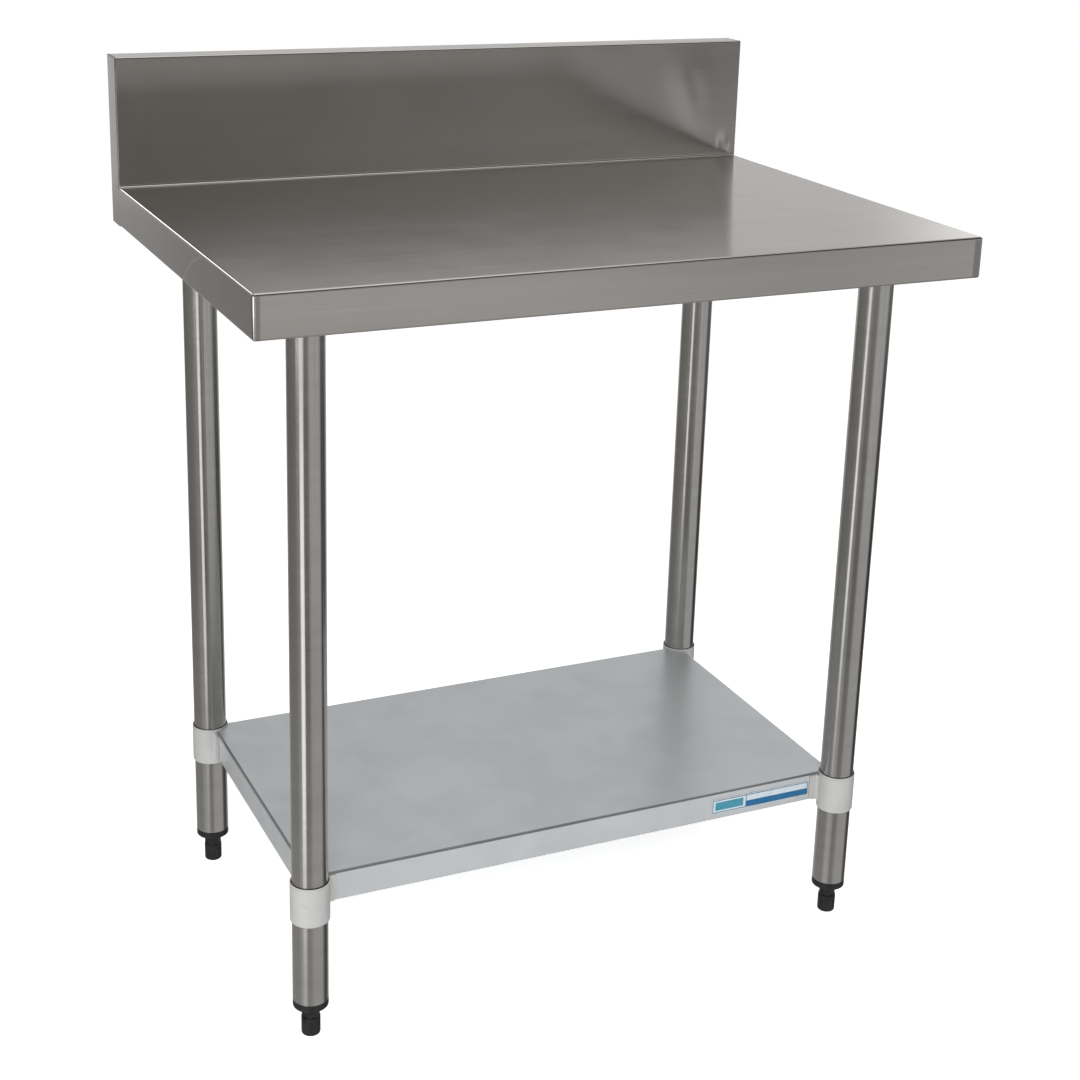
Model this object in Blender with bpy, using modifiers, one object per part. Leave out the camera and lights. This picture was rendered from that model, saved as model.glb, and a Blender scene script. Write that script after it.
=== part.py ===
"""Stainless work table with a splashback, an adjustable galvanised undershelf and levelling feet.

Metres, +Z up. The origin is on the floor at the centre of the table's plan, +X to the right
for a person who stands at the front, and +Y towards the splashback.
"""

from math import atan2, radians, sin, sqrt, tan

import bmesh
import bpy
from mathutils import Matrix, Vector

# ---- driving dimensions ----
WIDTH = 0.860
DEPTH = 0.600
HEIGHT = 0.900  # of the work surface
SHEET = 0.0012
GAP = 0.0003  # between pieces that touch
HEM = 0.012  # inward fold along the bottom of a skirt
BEND = 0.002  # outside radius of a fold

SKIRT = 0.048
SPLASH_RISE = 0.157
SPLASH_DEPTH = 0.038
SPLASH_FLANGE = 0.020
COVE = 0.006

LEG_X = WIDTH / 2 - 0.081
LEG_FRONT_Y = -DEPTH / 2 + 0.086
LEG_BACK_Y = -DEPTH / 2 + 0.502
TUBE_R = 0.02065
TUBE_WALL = 0.0012
TUBE_BOTTOM = 0.047

STRIP_WIDTH = 0.090
STRIP_THICK = 0.002
CHANNEL_WEB = 0.060
CHANNEL_DEPTH = 0.022
CHANNEL_FLANGE = 0.015
CHANNEL_FRONT_Y = -DEPTH / 2 + 0.0045
CHANNEL_BACK_Y = DEPTH / 2 - 0.050
STUD_R = 0.003
STUD_HOLE_R = 0.0033
STUD_TAIL = 0.009  # below the channel
SIDE_STUD_Y = (-0.106, 0.094)
CENTRE_STUD_X = (-0.180, 0.180)
NUT_FLATS = 0.010
NUT_HEIGHT = 0.005

SOCKET_R = 0.0245
SOCKET_BORE = TUBE_R + 0.00045
SOCKET_FLANGE_R = 0.029
SOCKET_FLANGE = 0.003
SOCKET_HEIGHT = 0.030
SCREW_R = 0.003
SCREW_HOLE_R = 0.0033
SCREW_LENGTH = 0.010
SCREW_KEY_FLATS = 0.003
SCREW_KEY_DEPTH = 0.004

SHELF_LEFT_RIGHT_X = LEG_X - 0.002
SHELF_FRONT_Y = LEG_FRONT_Y + 0.009
SHELF_BACK_Y = LEG_BACK_Y - 0.002
SHELF_TOP = 0.1955
SHELF_EDGE = 0.037
SHELF_NOTCH_R = 0.0231
SHELF_CHANNEL_DEPTH = 0.018
SHELF_CHANNEL_X = 0.326

SLEEVE_R = 0.0227
SLEEVE_BORE = TUBE_R + 0.00045
SLEEVE_BOTTOM = 0.1495
SLEEVE_TOP = 0.198
TAB_REACH = 0.034  # from the leg's axis to the tab's end
TAB_BOTTOM = 0.1595
TAB_TOP = 0.1925
SLEEVE_SCREW_Z = 0.172

INSERT_TOP = 0.075
INSERT_BODY_R = 0.0191
COLLAR_BOTTOM = 0.0383
STEM_R = 0.005
STEM_BORE = 0.0053
STEM_TOP = 0.0735
STEM_BOTTOM = 0.012
FOOT_R = 0.011
FOOT_HEX_R = 0.0108  # across two corners, halved
FOOT_HEX_BOTTOM = 0.0232
FOOT_FLAT_R = 0.0085  # the flat that stands on the floor

LABEL_LEFT_X = 0.174
LABEL_RIGHT_X = 0.3135
LABEL_HEIGHT = 0.019
LABEL_CENTRE_Z = 0.1767
LABEL_THICK = 0.0004

UNDER_TOP = HEIGHT - SHEET
STRIP_TOP = UNDER_TOP - GAP
CHANNEL_TOP = STRIP_TOP - STRIP_THICK - GAP
CHANNEL_BOTTOM = CHANNEL_TOP - CHANNEL_DEPTH
SOCKET_TOP = CHANNEL_BOTTOM - GAP
SOCKET_BOTTOM = SOCKET_TOP - SOCKET_HEIGHT
TUBE_TOP = SOCKET_TOP
SOCKET_SCREW_Z = SOCKET_BOTTOM + 0.012

CORNERS = {
    "front_left": (-1, -1),
    "front_right": (1, -1),
    "back_left": (-1, 1),
    "back_right": (1, 1),
}

# ---- scene ----
for old in list(bpy.data.objects):
    bpy.data.objects.remove(old)

parts = bpy.data.collections.new("work_table")
bpy.context.scene.collection.children.link(parts)
cutters = bpy.data.collections.new("cutters")
cutters.hide_render = True
bpy.context.scene.collection.children.link(cutters)


def new_material(name, colour, metallic, roughness):
    material = bpy.data.materials.new(name)
    material.use_nodes = True
    shader = material.node_tree.nodes["Principled BSDF"]
    shader.inputs["Base Color"].default_value = (*colour, 1)
    shader.inputs["Metallic"].default_value = metallic
    shader.inputs["Roughness"].default_value = roughness
    return material


STAINLESS = new_material("stainless", (0.55, 0.54, 0.52), 1, 0.28)
TUBE_STEEL = new_material("stainless_tube", (0.50, 0.49, 0.47), 1, 0.18)
GALVANISED = new_material("galvanised", (0.62, 0.64, 0.65), 1, 0.38)
ZINC = new_material("zinc_plated", (0.60, 0.60, 0.58), 1, 0.30)
BLACK_PLASTIC = new_material("black_plastic", (0.025, 0.025, 0.026), 0, 0.45)
BITUMEN = new_material("sound_deadening", (0.03, 0.03, 0.03), 0, 0.85)
LABEL = new_material("label_film", (0.10, 0.30, 0.50), 0, 0.35)


# ---- tools ----
def place(obj, material, home=parts):
    """Puts an object in its collection with its material."""
    home.objects.link(obj)
    if home is cutters:
        obj.hide_render = True
        obj.display_type = "WIRE"
    else:
        obj.data.materials.append(material)
    return obj


def mesh_object(name, bm, material=None, home=parts):
    mesh = bpy.data.meshes.new(name)
    bm.to_mesh(mesh)
    bm.free()
    mesh.shade_smooth()
    mesh.set_sharp_from_angle(angle=radians(35))
    return place(bpy.data.objects.new(name, mesh), material, home)


def box(name, low, high, material=None, home=parts):
    """An upright box between two corners."""
    low, high = Vector(low), Vector(high)
    bm = bmesh.new()
    bmesh.ops.create_cube(bm, size=1)
    bmesh.ops.scale(bm, vec=high - low, verts=bm.verts)
    obj = mesh_object(name, bm, material, home)
    obj.location = (low + high) / 2
    return obj


def rod(name, radius, start, end, sides, material=None, home=parts):
    """A prism or cylinder from start to end, with its origin at start."""
    start, end = Vector(start), Vector(end)
    along = end - start
    bm = bmesh.new()
    bmesh.ops.create_cone(
        bm, cap_ends=True, segments=sides, radius1=radius, radius2=radius, depth=along.length
    )
    bmesh.ops.translate(bm, vec=(0, 0, along.length / 2), verts=bm.verts)
    obj = mesh_object(name, bm, material, home)
    obj.location = start
    obj.rotation_euler = along.to_track_quat("Z", "Y").to_euler()
    return obj


def turned(name, profile, steps, material=None, home=parts, closed=True):
    """A profile of (radius, height), top to bottom down its outer side, turned about Z."""
    bm = bmesh.new()
    points = [bm.verts.new((r, 0, z)) for r, z in profile]
    for first, second in zip(points, points[1:]):
        bm.edges.new((first, second))
    if closed:
        bm.edges.new((points[-1], points[0]))
    obj = mesh_object(name, bm, material, home)
    screw = obj.modifiers.new("turn", "SCREW")
    screw.steps = steps
    screw.render_steps = steps
    screw.use_merge_vertices = not closed
    screw.merge_threshold = 0.0001
    return obj


def rounded(path, radius_at, segments=3):
    """The path with an arc of the given radius at each corner that radius_at names."""
    points = []
    for i, corner in enumerate(path):
        radius = radius_at.get(i)
        if radius is None:
            points.append(corner)
            continue
        here = Vector(corner)
        back = (Vector(path[i - 1]) - here).normalized()
        on = (Vector(path[i + 1]) - here).normalized()
        half = back.angle(on) / 2
        centre = here + (back + on).normalized() * (radius / sin(half))
        first = here + back * (radius / tan(half)) - centre
        last = here + on * (radius / tan(half)) - centre
        turn = atan2(first.x * last.y - first.y * last.x, first.dot(last))
        for k in range(segments + 1):
            step = Matrix.Rotation(turn * k / segments, 2) @ first
            points.append(tuple(centre + step))
    return points


def folded(name, path, axis, low, high, material=None, home=parts):
    """A sheet folded along path, (y, z) for axis X or (x, z) for axis Y, and as long as low to high.

    Its thickness is on the right of the path."""
    bm = bmesh.new()
    ends = []
    for along in (low, high):
        if axis == "X":
            ends.append([bm.verts.new((along, u, v)) for u, v in path])
        else:
            ends.append([bm.verts.new((u, along, v)) for u, v in path])
    for i in range(len(path) - 1):
        face = [ends[0][i], ends[0][i + 1], ends[1][i + 1], ends[1][i]]
        bm.faces.new(face if axis == "X" else face[::-1])
    obj = mesh_object(name, bm, material, home)
    solidify = obj.modifiers.new("thickness", "SOLIDIFY")
    solidify.thickness = SHEET
    solidify.offset = 1
    solidify.use_even_offset = True
    return obj


def combine(obj, other, operation):
    boolean = obj.modifiers.new(other.name, "BOOLEAN")
    boolean.operation = operation
    boolean.solver = "EXACT"
    boolean.object = other


def cut_hole(obj, name, radius, start, end, sides=16):
    combine(obj, rod(name, radius, start, end, sides, home=cutters), "DIFFERENCE")


def leg_axis(sx, sy):
    return sx * LEG_X, LEG_FRONT_Y if sy < 0 else LEG_BACK_Y


# ---- worktop and splashback ----
def make_worktop():
    front, back = -DEPTH / 2, DEPTH / 2
    face = back - SPLASH_DEPTH
    crest = HEIGHT + SPLASH_RISE
    path = [
        (front + HEM, HEIGHT - SKIRT),
        (front, HEIGHT - SKIRT),
        (front, HEIGHT),
        (face, HEIGHT),
        (face, crest),
        (back, crest),
        (back, crest - SPLASH_FLANGE),
    ]
    bends = {1: BEND, 2: BEND, 3: COVE, 4: BEND, 5: BEND}
    inner = WIDTH / 2 - SHEET / 2
    top = folded("worktop", rounded(path, bends), "X", -inner, inner, STAINLESS)
    for side, sx in (("left", -1), ("right", 1)):
        skirt = [
            (sx * (WIDTH / 2 - HEM), HEIGHT - SKIRT),
            (sx * WIDTH / 2, HEIGHT - SKIRT),
            (sx * WIDTH / 2, HEIGHT - SHEET / 2),
        ]
        skirt = rounded(skirt, {1: BEND})
        if sx > 0:
            skirt.reverse()
        span = (front + SHEET / 2, back - SHEET)
        combine(top, folded(f"skirt_{side}", skirt, "Y", *span, home=cutters), "UNION")
    for side, sx in (("left", -1), ("right", 1)):
        edges = sorted((sx * (WIDTH / 2 - SHEET - GAP), sx * (WIDTH / 2 + HEM)))
        low = (edges[0], face - GAP, HEIGHT - SKIRT - HEM)
        high = (edges[1], back + HEM, crest + HEM)
        combine(top, box(f"end_space_{side}", low, high, home=cutters), "DIFFERENCE")
    # the hollow behind the splashback is open downwards, so nothing of the side hems crosses it
    low = (-WIDTH / 2 - HEM, face - GAP, HEIGHT - SKIRT - HEM)
    high = (WIDTH / 2 + HEM, back + HEM, HEIGHT - SHEET * 2)
    combine(top, box("hollow_mouth", low, high, home=cutters), "DIFFERENCE")


def make_splash_end(side, sx):
    xs = sorted((sx * (WIDTH / 2 - SHEET), sx * WIDTH / 2))
    low = (xs[0], DEPTH / 2 - SPLASH_DEPTH, HEIGHT - SKIRT)
    high = (xs[1], DEPTH / 2, HEIGHT + SPLASH_RISE)
    box(f"splash_end_{side}", low, high, STAINLESS)


# ---- stiffening under the top ----
def hat_path(centre, web_bottom, flange_top):
    """The section of a hat channel whose closed side is down, left to right with its metal outside."""
    half = CHANNEL_WEB / 2
    far = half + CHANNEL_FLANGE
    rim = flange_top - SHEET
    corners = [(-far, rim), (-half, rim), (-half, web_bottom), (half, web_bottom), (half, rim), (far, rim)]
    path = [(centre + u, v) for u, v in reversed(corners)]
    return rounded(path, {1: BEND / 2, 2: BEND, 3: BEND, 4: BEND / 2}, segments=2)


def make_top_channels():
    mid_y = (LEG_FRONT_Y + LEG_BACK_Y) / 2
    reach = LEG_X - STRIP_WIDTH / 2 - 0.003
    spans = {
        "left": ((-LEG_X - STRIP_WIDTH / 2, CHANNEL_FRONT_Y), (-LEG_X + STRIP_WIDTH / 2, CHANNEL_BACK_Y)),
        "right": ((LEG_X - STRIP_WIDTH / 2, CHANNEL_FRONT_Y), (LEG_X + STRIP_WIDTH / 2, CHANNEL_BACK_Y)),
        "centre": ((-reach, mid_y - STRIP_WIDTH / 2), (reach, mid_y + STRIP_WIDTH / 2)),
    }
    studs = {
        "left": [(-LEG_X, y) for y in SIDE_STUD_Y],
        "right": [(LEG_X, y) for y in SIDE_STUD_Y],
        "centre": [(x, mid_y) for x in CENTRE_STUD_X],
    }
    for place_name, (low, high) in spans.items():
        strip = box(
            f"sound_strip_{place_name}",
            (*low, STRIP_TOP - STRIP_THICK),
            (*high, STRIP_TOP),
            BITUMEN,
        )
        if place_name == "centre":
            section = hat_path(mid_y, CHANNEL_BOTTOM, CHANNEL_TOP)
            channel = folded("top_channel_centre", section, "X", low[0], high[0], GALVANISED)
        else:
            section = hat_path((low[0] + high[0]) / 2, CHANNEL_BOTTOM, CHANNEL_TOP)
            channel = folded(
                f"top_channel_{place_name}", section, "Y", low[1], high[1], GALVANISED
            )
        for number, (x, y) in enumerate(studs[place_name], 1):
            tag = f"{place_name}_{number}"
            below = CHANNEL_BOTTOM - STUD_TAIL
            cut_hole(channel, f"channel_hole_{tag}", STUD_HOLE_R, (x, y, below), (x, y, STRIP_TOP))
            cut_hole(strip, f"strip_hole_{tag}", STUD_HOLE_R, (x, y, below), (x, y, HEIGHT))
            rod(f"top_stud_{tag}", STUD_R, (x, y, below), (x, y, STRIP_TOP), 16, ZINC)
            nut_top = CHANNEL_BOTTOM - GAP
            nut = rod(
                f"top_nut_{tag}",
                NUT_FLATS / sqrt(3),
                (x, y, nut_top - NUT_HEIGHT),
                (x, y, nut_top),
                6,
                ZINC,
            )
            cut_hole(nut, f"nut_bore_{tag}", STUD_HOLE_R, (x, y, below), (x, y, STRIP_TOP))


# ---- legs ----
def set_screw(name, axis, direction, height):
    """A headless screw with a hexagonal key recess, its tip just short of the leg's tube."""
    centre = Vector((*axis, height))
    direction = Vector((*direction, 0)).normalized()
    tip = centre + direction * (TUBE_R + GAP)
    end = tip + direction * SCREW_LENGTH
    screw = rod(name, SCREW_R, tip, end, 16, ZINC)
    key_start = end - direction * SCREW_KEY_DEPTH
    key_end = end + direction * SCREW_KEY_DEPTH
    cut_hole(screw, f"{name}_key", SCREW_KEY_FLATS / sqrt(3), key_start, key_end, sides=6)
    return centre, direction


def make_leg(corner, sx, sy):
    axis = leg_axis(sx, sy)
    socket_profile = [
        (SOCKET_FLANGE_R, SOCKET_TOP),
        (SOCKET_FLANGE_R, SOCKET_TOP - SOCKET_FLANGE),
        (SOCKET_R + 0.001, SOCKET_TOP - SOCKET_FLANGE - 0.001),
        (SOCKET_R, SOCKET_BOTTOM + 0.001),
        (SOCKET_R - 0.0006, SOCKET_BOTTOM),
        (SOCKET_BORE, SOCKET_BOTTOM),
        (SOCKET_BORE, SOCKET_TOP),
    ]
    socket = turned(f"leg_socket_{corner}", socket_profile, 28, GALVANISED)
    socket.location = (*axis, 0)
    inward = (-sx, 0)
    centre, direction = set_screw(f"socket_screw_{corner}", axis, inward, SOCKET_SCREW_Z)
    cut_hole(
        socket,
        f"socket_hole_{corner}",
        SCREW_HOLE_R,
        centre + direction * (SOCKET_BORE - 0.003),
        centre + direction * (SOCKET_R + 0.003),
    )
    tube_profile = [
        (TUBE_R, TUBE_TOP),
        (TUBE_R, TUBE_BOTTOM),
        (TUBE_R - TUBE_WALL, TUBE_BOTTOM),
        (TUBE_R - TUBE_WALL, TUBE_TOP),
    ]
    tube = turned(f"leg_{corner}", tube_profile, 40, TUBE_STEEL)
    tube.location = (*axis, 0)


# ---- feet ----
def make_foot(corner, sx, sy):
    axis = leg_axis(sx, sy)
    collar_top = TUBE_BOTTOM - GAP
    insert_profile = [
        (INSERT_BODY_R - 0.0008, INSERT_TOP),
        (INSERT_BODY_R, INSERT_TOP - 0.0020),
        (INSERT_BODY_R, collar_top),
        (TUBE_R, collar_top),
        (TUBE_R, COLLAR_BOTTOM + 0.0006),
        (TUBE_R - 0.0006, COLLAR_BOTTOM),
        (STEM_BORE, COLLAR_BOTTOM),
        (STEM_BORE, INSERT_TOP),
    ]
    insert = turned(f"foot_insert_{corner}", insert_profile, 28, BLACK_PLASTIC)
    insert.location = (*axis, 0)
    stem_profile = [
        (0, STEM_TOP),
        (STEM_R - 0.001, STEM_TOP),
        (STEM_R, STEM_TOP - 0.001),
        (STEM_R, STEM_BOTTOM),
        (0, STEM_BOTTOM),
    ]
    stem = turned(f"foot_stem_{corner}", stem_profile, 20, ZINC, closed=False)
    stem.location = (*axis, 0)
    bullet_profile = [
        (0, FOOT_HEX_BOTTOM),
        (FOOT_R - 0.0006, FOOT_HEX_BOTTOM),
        (FOOT_R, FOOT_HEX_BOTTOM - 0.0006),
        (FOOT_R, 0.0025),
        (FOOT_R - 0.0007, 0.0007),
        (FOOT_FLAT_R, 0),
        (0, 0),
    ]
    foot = turned(f"foot_{corner}", bullet_profile, 28, BLACK_PLASTIC, closed=False)
    foot.location = (*axis, 0)
    hexagon = rod(
        f"foot_hexagon_{corner}",
        FOOT_HEX_R,
        (*axis, FOOT_HEX_BOTTOM - 0.003),
        (*axis, COLLAR_BOTTOM - GAP),
        6,
        home=cutters,
    )
    combine(foot, hexagon, "UNION")
    bore_low = STEM_BOTTOM - GAP
    cut_hole(foot, f"foot_bore_{corner}", STEM_BORE, (*axis, bore_low), (*axis, TUBE_BOTTOM), 20)


# ---- undershelf ----
def make_undershelf():
    bm = bmesh.new()
    bmesh.ops.create_cube(bm, size=1)
    size = Vector((2 * SHELF_LEFT_RIGHT_X, SHELF_BACK_Y - SHELF_FRONT_Y, SHELF_EDGE))
    bmesh.ops.scale(bm, vec=size, verts=bm.verts)
    upper = [e for e in bm.edges if all(v.co.z > 0 for v in e.verts)]
    lower = [e for e in bm.edges if all(v.co.z < 0 for v in e.verts)]
    bmesh.ops.bevel(
        bm, geom=upper + lower, offset=BEND, segments=2, profile=0.5, affect="EDGES"
    )
    bm.faces.ensure_lookup_table()
    floor = min(bm.faces, key=lambda f: f.calc_center_median().z)
    bmesh.ops.inset_region(bm, faces=[floor], thickness=HEM - BEND, use_even_offset=True)
    bmesh.ops.delete(bm, geom=[floor], context="FACES")
    shelf = mesh_object("undershelf", bm, GALVANISED)
    shelf.location = (0, (SHELF_FRONT_Y + SHELF_BACK_Y) / 2, SHELF_TOP - SHELF_EDGE / 2)
    solidify = shelf.modifiers.new("thickness", "SOLIDIFY")
    solidify.thickness = SHEET
    solidify.offset = -1
    solidify.use_even_offset = True
    for corner, signs in CORNERS.items():
        axis = leg_axis(*signs)
        cut_hole(
            shelf, f"notch_{corner}", SHELF_NOTCH_R, (*axis, SLEEVE_BOTTOM), (*axis, SLEEVE_TOP), 40
        )
    mid_y = (SHELF_FRONT_Y + SHELF_BACK_Y) / 2
    flange_top = SHELF_TOP - SHEET - GAP
    section = hat_path(mid_y, flange_top - SHELF_CHANNEL_DEPTH, flange_top)
    folded("shelf_channel", section, "X", -SHELF_CHANNEL_X, SHELF_CHANNEL_X, GALVANISED)


def make_sleeve(corner, sx, sy):
    x, y = leg_axis(sx, sy)
    rim = 0.0006
    profile = [
        (SLEEVE_R - rim, SLEEVE_TOP),
        (SLEEVE_R, SLEEVE_TOP - rim),
        (SLEEVE_R, SLEEVE_BOTTOM),
        (SLEEVE_BORE, SLEEVE_BOTTOM),
        (SLEEVE_BORE, SLEEVE_TOP),
    ]
    sleeve = turned(f"shelf_sleeve_{corner}", profile, 40, GALVANISED)
    sleeve.location = (x, y, 0)
    wall_middle = (SLEEVE_R + SLEEVE_BORE) / 2
    # one tab lies on the shelf's long edge and one on its short edge
    long_face = (SHELF_FRONT_Y if sy < 0 else SHELF_BACK_Y) + sy * GAP
    long_start = sqrt(wall_middle**2 - (long_face - y) ** 2)
    short_face = sx * (SHELF_LEFT_RIGHT_X + GAP)
    short_start = sqrt(wall_middle**2 - (short_face - x) ** 2)
    tabs = {
        "long": ((x - sx * long_start, long_face), (x - sx * TAB_REACH, long_face + sy * SHEET)),
        "short": ((short_face, y - sy * short_start), (short_face + sx * SHEET, y - sy * TAB_REACH)),
    }
    for edge, (first, second) in tabs.items():
        low = (min(first[0], second[0]), min(first[1], second[1]), TAB_BOTTOM)
        high = (max(first[0], second[0]), max(first[1], second[1]), TAB_TOP)
        combine(sleeve, box(f"tab_{edge}_{corner}", low, high, home=cutters), "UNION")
    centre, direction = set_screw(f"sleeve_screw_{corner}", (x, y), (-sx, -sy), SLEEVE_SCREW_Z)
    cut_hole(
        sleeve,
        f"sleeve_hole_{corner}",
        SCREW_HOLE_R,
        centre + direction * (SLEEVE_BORE - 0.003),
        centre + direction * (SLEEVE_R + 0.003),
    )


def make_label():
    face = SHELF_FRONT_Y - GAP
    low = (LABEL_LEFT_X, face - LABEL_THICK, LABEL_CENTRE_Z - LABEL_HEIGHT / 2)
    high = (LABEL_RIGHT_X, face, LABEL_CENTRE_Z + LABEL_HEIGHT / 2)
    box("plain_label", low, high, LABEL)


make_worktop()
make_splash_end("left", -1)
make_splash_end("right", 1)
make_top_channels()
make_undershelf()
for corner_name, (side_x, side_y) in CORNERS.items():
    make_leg(corner_name, side_x, side_y)
    make_foot(corner_name, side_x, side_y)
    make_sleeve(corner_name, side_x, side_y)
make_label()
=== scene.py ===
"""The look of a stainless work table: folded brushed sheet, polished tube legs, a galvanised
undershelf on clamp sleeves, and black levelling feet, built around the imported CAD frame.

Metres, +Z up, the row frame. The pieces' places come from the CAD nodes' boxes; heights and
radii of small details are the numbers named beside them.
"""

from math import cos, exp, floor, radians, sin, sqrt, tau

import bmesh
import bpy
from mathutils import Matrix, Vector


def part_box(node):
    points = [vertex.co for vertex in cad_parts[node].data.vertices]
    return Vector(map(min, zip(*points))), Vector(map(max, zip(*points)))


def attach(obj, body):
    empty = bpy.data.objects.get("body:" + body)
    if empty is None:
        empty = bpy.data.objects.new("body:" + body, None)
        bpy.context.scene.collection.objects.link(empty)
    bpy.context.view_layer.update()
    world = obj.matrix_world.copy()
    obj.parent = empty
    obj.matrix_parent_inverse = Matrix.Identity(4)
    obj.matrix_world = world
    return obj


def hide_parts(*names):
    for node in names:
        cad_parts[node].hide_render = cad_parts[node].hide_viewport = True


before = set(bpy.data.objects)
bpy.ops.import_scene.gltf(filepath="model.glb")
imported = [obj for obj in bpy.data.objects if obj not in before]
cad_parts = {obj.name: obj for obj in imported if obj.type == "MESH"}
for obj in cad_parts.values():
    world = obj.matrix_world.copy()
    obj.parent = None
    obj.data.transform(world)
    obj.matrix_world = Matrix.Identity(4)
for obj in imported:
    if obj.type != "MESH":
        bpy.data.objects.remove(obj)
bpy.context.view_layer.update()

CORNERS = {
    "front_left": (-1, -1),
    "front_right": (1, -1),
    "back_left": (-1, 1),
    "back_right": (1, 1),
}

GAP = 0.0003  # between neighbouring pieces
SHARP = radians(40)  # faces that meet at more than this keep a hard edge

# ---- sizes that the CAD boxes give ----
TOP_LOW, TOP_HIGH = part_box("worktop")
HALF_WIDTH = TOP_HIGH.x
FRONT_Y = TOP_LOW.y
BACK_Y = TOP_HIGH.y
SKIRT_BOTTOM = TOP_LOW.z
CREST = TOP_HIGH.z
SPLASH_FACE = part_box("splash_end_left")[0].y
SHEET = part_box("splash_end_right")[1].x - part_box("splash_end_right")[0].x
WORK_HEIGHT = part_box("sound_strip_left")[1].z + SHEET + GAP

# ---- sizes of the finished pieces ----
SEAM = 0.00004  # welded and ground joint, closed up to a hairline
BEND = 0.0030  # outside radius of a fold
COVE = 0.0030  # radius where the top rises into the splashback
HEM = 0.012
REAR_FLANGE = 0.020
WELD_BAND = 0.011  # ground and polished strip beside a welded corner; its darker tint is painted shade
PLATE_BEND = 0.0011  # rounding of an end plate's outward edges
JOINT_LINE = 0.0012  # below the worktop, where a plate's rounding has run out
NOTCH_RADIUS = 0.0231  # of the undershelf's corners round the legs
SLEEVE_RADIUS = 0.0227
BEND_STEPS = 8
ROUND_SIDES = 96
STEM_BORE = 0.0053  # clearance hole for a foot's stem


# ---- mesh tools ----
class Shape:
    """A mesh under construction that joins vertices at the same place."""

    def __init__(self, bm=None):
        self.bm = bmesh.new() if bm is None else bm
        self.known = {}

    def point(self, x, y, z):
        key = (round(x, 6), round(y, 6), round(z, 6))
        if key not in self.known:
            self.known[key] = self.bm.verts.new((x, y, z))
        return self.known[key]

    def face(self, points, material=0):
        loop = []
        for vert in (self.point(*p) for p in points):
            if vert not in loop:
                loop.append(vert)
        if len(loop) > 2:
            face = self.bm.faces.new(loop)
            face.material_index = material
            face.smooth = True

    def strip(self, rows, closed=False, material_of=None):
        """Quads between neighbouring rows of points; material_of(row, column) picks a material."""
        for number, (upper, lower) in enumerate(zip(rows, rows[1:])):
            last = len(upper) if closed else len(upper) - 1
            for i in range(last):
                j = (i + 1) % len(upper)
                material = material_of(number, i) if material_of else 0
                self.face([upper[i], upper[j], lower[j], lower[i]], material)

    def done(self, name, *materials):
        mesh = bpy.data.meshes.new(name)
        self.bm.to_mesh(mesh)
        self.bm.free()
        obj = bpy.data.objects.new(name, mesh)
        bpy.context.scene.collection.objects.link(obj)
        for material in materials:
            mesh.materials.append(material)
        mesh.set_sharp_from_angle(angle=SHARP)
        return obj


def block(low, high):
    """A box between two corners, as a bmesh to be cut and bevelled."""
    bm = bmesh.new()
    bmesh.ops.create_cube(bm, size=1)
    bmesh.ops.scale(bm, vec=high - low, verts=bm.verts)
    bmesh.ops.translate(bm, vec=(low + high) / 2, verts=bm.verts)
    return bm


def smooth(bm):
    for face in bm.faces:
        face.smooth = True


def leg_axis(corner):
    """Where a leg's axis stands in plan, and the tube's radius."""
    low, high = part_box(f"leg_{corner}")
    return (low.x + high.x) / 2, (low.y + high.y) / 2, (high.x - low.x) / 2


def spaced(start, end, step):
    """Even steps of about step from start towards end, without end itself."""
    count = max(1, round((end - start) / step))
    return [start + (end - start) * k / count for k in range(count)]


def arc(centre, radius, start, end, steps):
    """Points of an arc in a plane, from angle start to end in degrees."""
    u, v = centre
    angles = [radians(start + (end - start) * k / steps) for k in range(steps + 1)]
    return [(u + radius * cos(a), v + radius * sin(a)) for a in angles]


def ring(x, y, radius, z, sides=ROUND_SIDES):
    """Points of a level circle."""
    turns = [tau * k / sides for k in range(sides)]
    return [(x + radius * cos(turn), y + radius * sin(turn), z) for turn in turns]


def lathe(name, x, y, profile, *materials, sides=ROUND_SIDES):
    """A closed profile of (radius, height), down its outer side, turned about an upright axis."""
    shape = Shape()
    rows = [ring(x, y, radius, z, sides) for radius, z in profile]
    shape.strip([row[::-1] for row in rows + rows[:1]], closed=True)
    return shape.done(name, *materials)


def solid_turned(name, x, y, profile, *materials, sides=ROUND_SIDES):
    """A profile of (radius, height) from its top to its bottom, closed by a cap at each end."""
    shape = Shape()
    rows = [ring(x, y, radius, z, sides)[::-1] for radius, z in profile]
    shape.strip(rows, closed=True)
    shape.face(rows[0][::-1])
    shape.face(rows[-1])
    return shape.done(name, *materials)


def prism(name, x, y, corner_radius, low, high, sides, edge, *materials):
    """An upright prism with small chamfers at both ends."""
    inner = corner_radius - edge
    upper = [(inner, high), (corner_radius, high - edge)]
    profile = upper + [(corner_radius, low + edge), (inner, low)]
    obj = solid_turned(name, x, y, profile, *materials, sides=sides)
    obj.data.set_sharp_from_angle(angle=radians(20))
    return obj


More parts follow.
